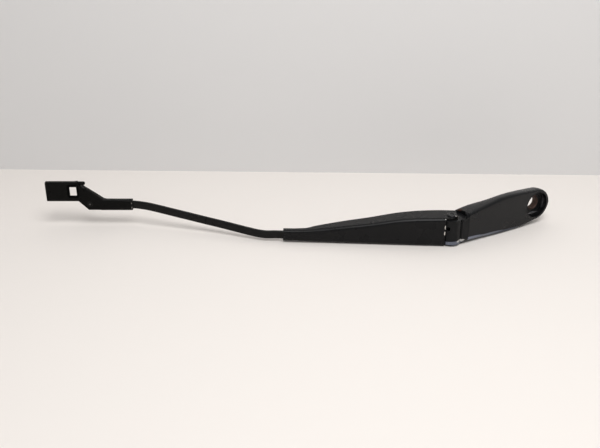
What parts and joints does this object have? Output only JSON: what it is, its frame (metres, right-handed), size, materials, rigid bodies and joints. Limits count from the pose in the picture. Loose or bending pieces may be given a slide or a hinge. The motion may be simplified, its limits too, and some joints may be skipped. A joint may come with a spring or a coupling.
{
  "type": "wiper arm",
  "caption": "Black windscreen wiper arm: cast mounting head with a spindle bore, folding spring hinge, tapered sheet arm, flat rod and hooked sheet blade holder.",
  "frame": {"origin": "centre of the spindle bore in the mounting head, half way along its wall", "axes": "+X along the sheet arm from the blade holder to the hinge, +Y towards the glass side of the sheet arm, +Z parallel to the hinge pin, up as the arm lies on its lower edge"},
  "size_m": [0.4766, 0.0725, 0.0443],
  "materials": {
    "black_paint": "satin black paint",
    "black_casting": "satin black powder coat on a die casting",
    "pin_steel": "plain steel, worn at the rivet head",
    "spring_steel": "oiled spring wire",
    "bush_bronze": "plain bearing bronze"
  },
  "bodies": {
    "head": {"mounting_head": "black_casting", "pivot_bush_upper": "bush_bronze", "pivot_bush_lower": "bush_bronze", "hook_pin": "pin_steel"},
    "arm": {"pivot_pin": "pin_steel", "arm_channel": "black_paint", "spring_anchor": "pin_steel", "arm_rod": "black_paint", "blade_holder": "black_paint"},
    "hook": {"spring_hook": "pin_steel"},
    "spring": {"tension_spring": "spring_steel"}
  },
  "joints": [
    {"name": "arm_fold", "type": "hinge", "parent": "head", "child": "arm", "pos_m": [-0.08081, -0.05329, -0.00645], "axis": [0, 0, 1], "range_deg": [0, 100], "stiffness_Nm_per_rad": 0.5, "springref_deg": -114.59},
    {"name": "hook_swing", "type": "hinge", "parent": "head", "child": "hook", "pos_m": [-0.07599, -0.04754, -0.0025], "axis": [0, 0, 1], "range_deg": [0, 94]},
    {"name": "spring_swing", "type": "hinge", "parent": "arm", "child": "spring", "pos_m": [-0.17281, -0.05129, -0.0106], "axis": [0, 0, 1], "range_deg": [-7.5, 0], "deforming": ["tension_spring"]}
  ],
  "couplings": [
    {"joint": "hook_swing", "follows": "arm_fold", "ratio": 0.93211},
    {"joint": "spring_swing", "follows": "arm_fold", "ratio": -0.06789}
  ]
}
